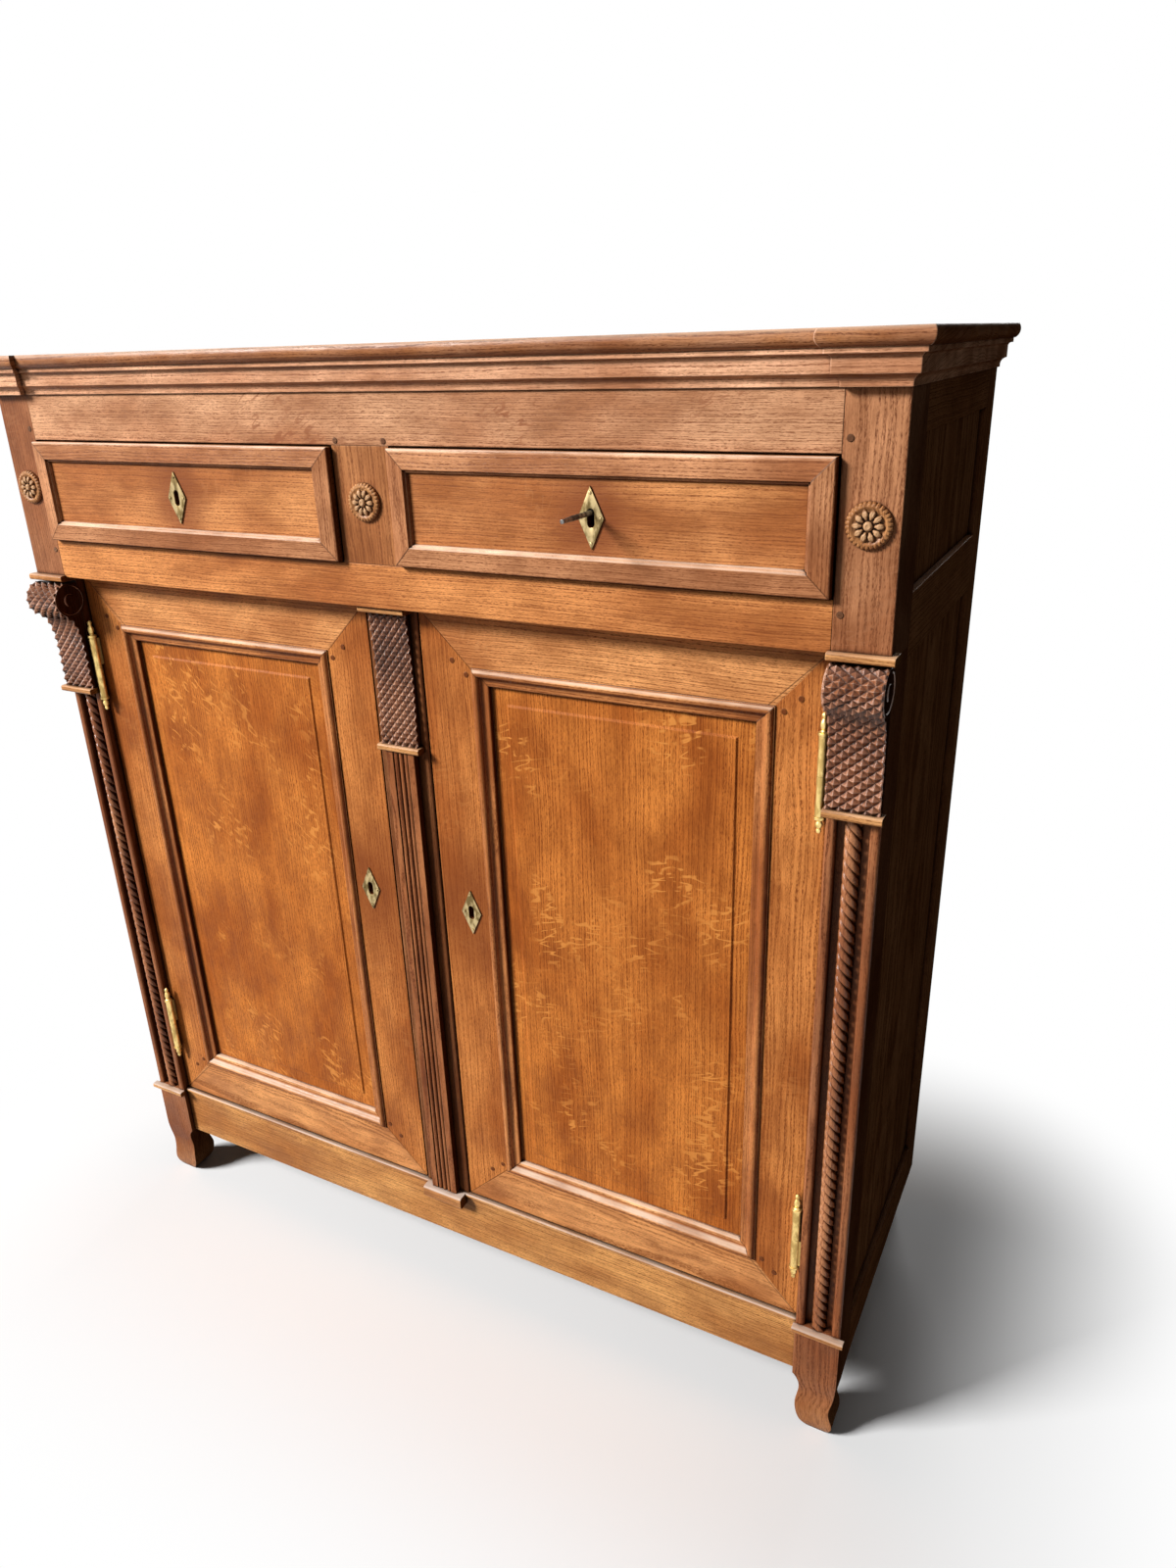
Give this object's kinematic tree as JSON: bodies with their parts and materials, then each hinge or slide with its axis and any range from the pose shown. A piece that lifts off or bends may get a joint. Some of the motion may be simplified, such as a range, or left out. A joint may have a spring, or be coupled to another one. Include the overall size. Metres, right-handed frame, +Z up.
{
  "type": "buffet cupboard",
  "caption": "Tall panelled oak buffet with drawers over hinged doors, carved corner consoles, rope columns, rosettes and diamond brass escutcheons.",
  "frame": {"origin": "floor level, midway between the two sides and midway between the key's end and the back boards", "axes": "+Z up, -Y out of the front with the drawers and doors, +X to the right seen from the front"},
  "size_m": [1.348, 0.582, 1.472],
  "materials": {
    "oak": "waxed, honey brown",
    "oak_inner": "bare, dull",
    "brass": "aged, rubbed",
    "lock_iron": "black, worn",
    "key_steel": "dark, rubbed"
  },
  "bodies": {
    "cabinet": {"front_posts": "oak", "rear_posts": "oak_inner", "side_rails": "oak", "side_panels": "oak", "back_rails": "oak_inner", "back_boards": "oak_inner", "floor_boards": "oak_inner", "dust_board": "oak_inner", "shelf": "oak_inner", "shelf_bearers": "oak_inner", "door_stops": "oak_inner", "drawer_runners": "oak_inner", "drawer_guides": "oak_inner", "top_board": "oak", "cornice_moulding": "oak", "corner_consoles": "oak", "centre_console": "oak", "carved_strips": "oak", "rope_columns": "oak", "pilaster": "oak", "ledge_moulding": "oak", "rosettes": "oak", "frame_pegs": "oak", "mid_rail": "oak", "bottom_rail": "oak", "frieze_rail": "oak", "drawer_divider": "oak", "centre_muntin": "oak", "post_hinge_halves": "brass"},
    "left_door": {"left_door_stiles": "oak", "left_door_rails": "oak", "left_door_panel": "oak", "left_door_moulding": "oak", "left_door_escutcheon": "brass", "left_door_hinge_halves": "brass", "left_door_lock": "lock_iron"},
    "left_door_bolt": {"left_door_bolt": "lock_iron"},
    "left_drawer": {"left_drawer_front": "oak", "left_drawer_border": "oak", "left_drawer_sides": "oak_inner", "left_drawer_bottom": "oak_inner", "left_drawer_escutcheon": "brass", "left_drawer_lock": "lock_iron"},
    "left_drawer_bolt": {"left_drawer_bolt": "lock_iron"},
    "right_door": {"right_door_stiles": "oak", "right_door_rails": "oak", "right_door_panel": "oak", "right_door_moulding": "oak", "right_door_escutcheon": "brass", "right_door_hinge_halves": "brass", "right_door_lock": "lock_iron"},
    "right_door_bolt": {"right_door_bolt": "lock_iron"},
    "right_drawer": {"right_drawer_front": "oak", "right_drawer_border": "oak", "right_drawer_sides": "oak_inner", "right_drawer_bottom": "oak_inner", "right_drawer_escutcheon": "brass", "right_drawer_lock": "lock_iron"},
    "right_drawer_bolt": {"right_drawer_bolt": "lock_iron"},
    "key": {"key": "key_steel"}
  },
  "joints": [
    {"name": "right_door_swing", "type": "hinge", "parent": "cabinet", "child": "right_door", "pos_m": [0.58, -0.1995, 0.7], "axis": [0, 0, 1], "range_deg": [0, 95]},
    {"name": "left_door_swing", "type": "hinge", "parent": "cabinet", "child": "left_door", "pos_m": [-0.58, -0.1995, 0.7], "axis": [0, 0, -1], "range_deg": [0, 95]},
    {"name": "right_drawer_slide", "type": "slide", "parent": "cabinet", "child": "right_drawer", "axis": [0, -1, 0], "range_m": [0, 0.3]},
    {"name": "left_drawer_slide", "type": "slide", "parent": "cabinet", "child": "left_drawer", "axis": [0, -1, 0], "range_m": [0, 0.3]},
    {"name": "key_turn", "type": "hinge", "parent": "right_drawer", "child": "key", "pos_m": [0.315, -0.219, 1.293], "axis": [0, -1, 0], "range_deg": [0, 90]},
    {"name": "right_drawer_bolt_slide", "type": "slide", "parent": "right_drawer", "child": "right_drawer_bolt", "axis": [0, 0, 1], "range_m": [0, 0.012]},
    {"name": "left_drawer_bolt_slide", "type": "slide", "parent": "left_drawer", "child": "left_drawer_bolt", "axis": [0, 0, 1], "range_m": [0, 0.012]},
    {"name": "right_door_bolt_slide", "type": "slide", "parent": "right_door", "child": "right_door_bolt", "axis": [-1, 0, 0], "range_m": [0, 0.016]},
    {"name": "left_door_bolt_slide", "type": "slide", "parent": "left_door", "child": "left_door_bolt", "axis": [1, 0, 0], "range_m": [0, 0.016]}
  ],
  "couplings": [
    {"joint": "key_turn", "follows": "right_drawer_bolt_slide", "rad_per_m": 130.8}
  ]
}
